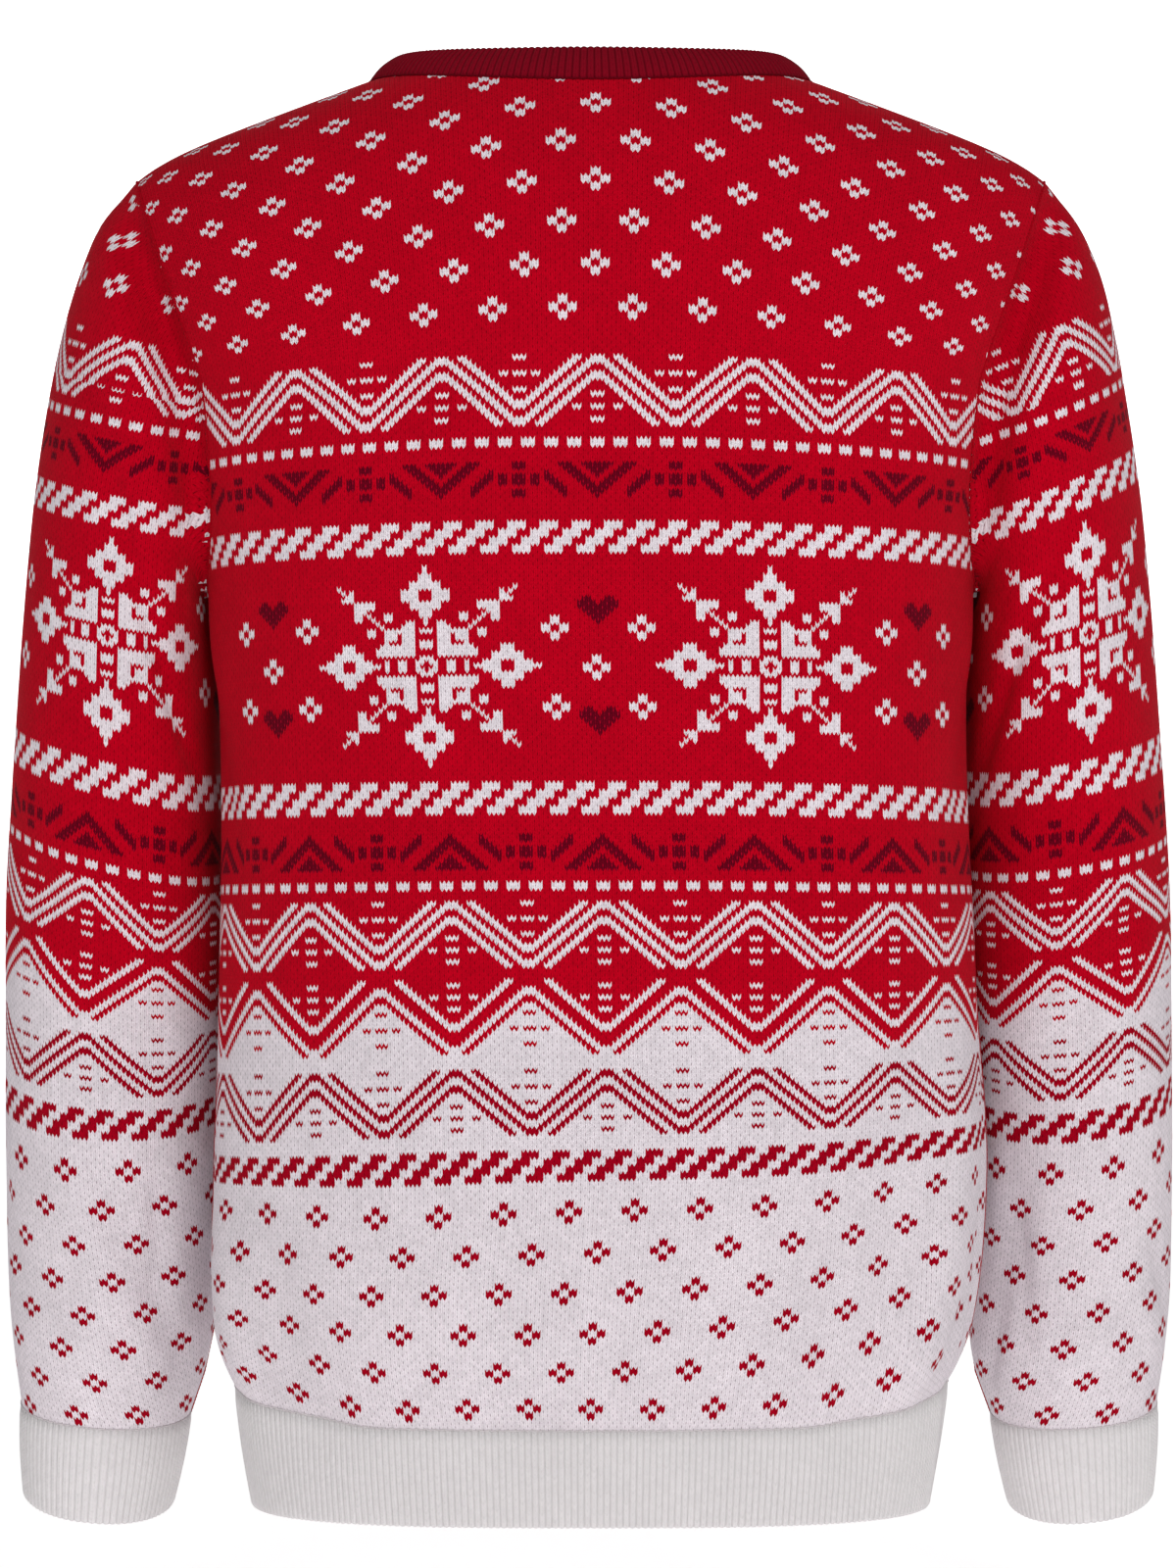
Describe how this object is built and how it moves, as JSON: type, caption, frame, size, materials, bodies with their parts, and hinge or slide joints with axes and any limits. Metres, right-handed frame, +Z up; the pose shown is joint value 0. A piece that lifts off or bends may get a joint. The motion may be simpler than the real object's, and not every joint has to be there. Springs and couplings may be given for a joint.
{
  "type": "christmas sweater",
  "caption": "Hollow crew-neck pullover in red and white jacquard knit with long sleeves, a dark ribbed collar and white ribbed hem and cuffs.",
  "frame": {"origin": "middle of the neck opening, level with the points where the shoulder seams meet the collar, where the wearer's neck and shoulders hold the garment", "axes": "+Z up, -Y the front, +X the wearer's left"},
  "size_m": [0.5848, 0.2498, 0.7243],
  "materials": {
    "jacquard_knit": "matte double-faced jacquard knit in red, white and wine yarn",
    "wine_rib": "matte ribbed knit in wine yarn",
    "white_rib": "matte ribbed knit in off-white yarn"
  },
  "bodies": {
    "root": {"back_panel": "jacquard_knit", "front_panel": "jacquard_knit", "sleeve_left": "jacquard_knit", "sleeve_right": "jacquard_knit", "neck_rib": "wine_rib", "hem_rib_back": "white_rib", "hem_rib_front": "white_rib", "cuff_left": "white_rib", "cuff_right": "white_rib"}
  },
  "joints": []
}
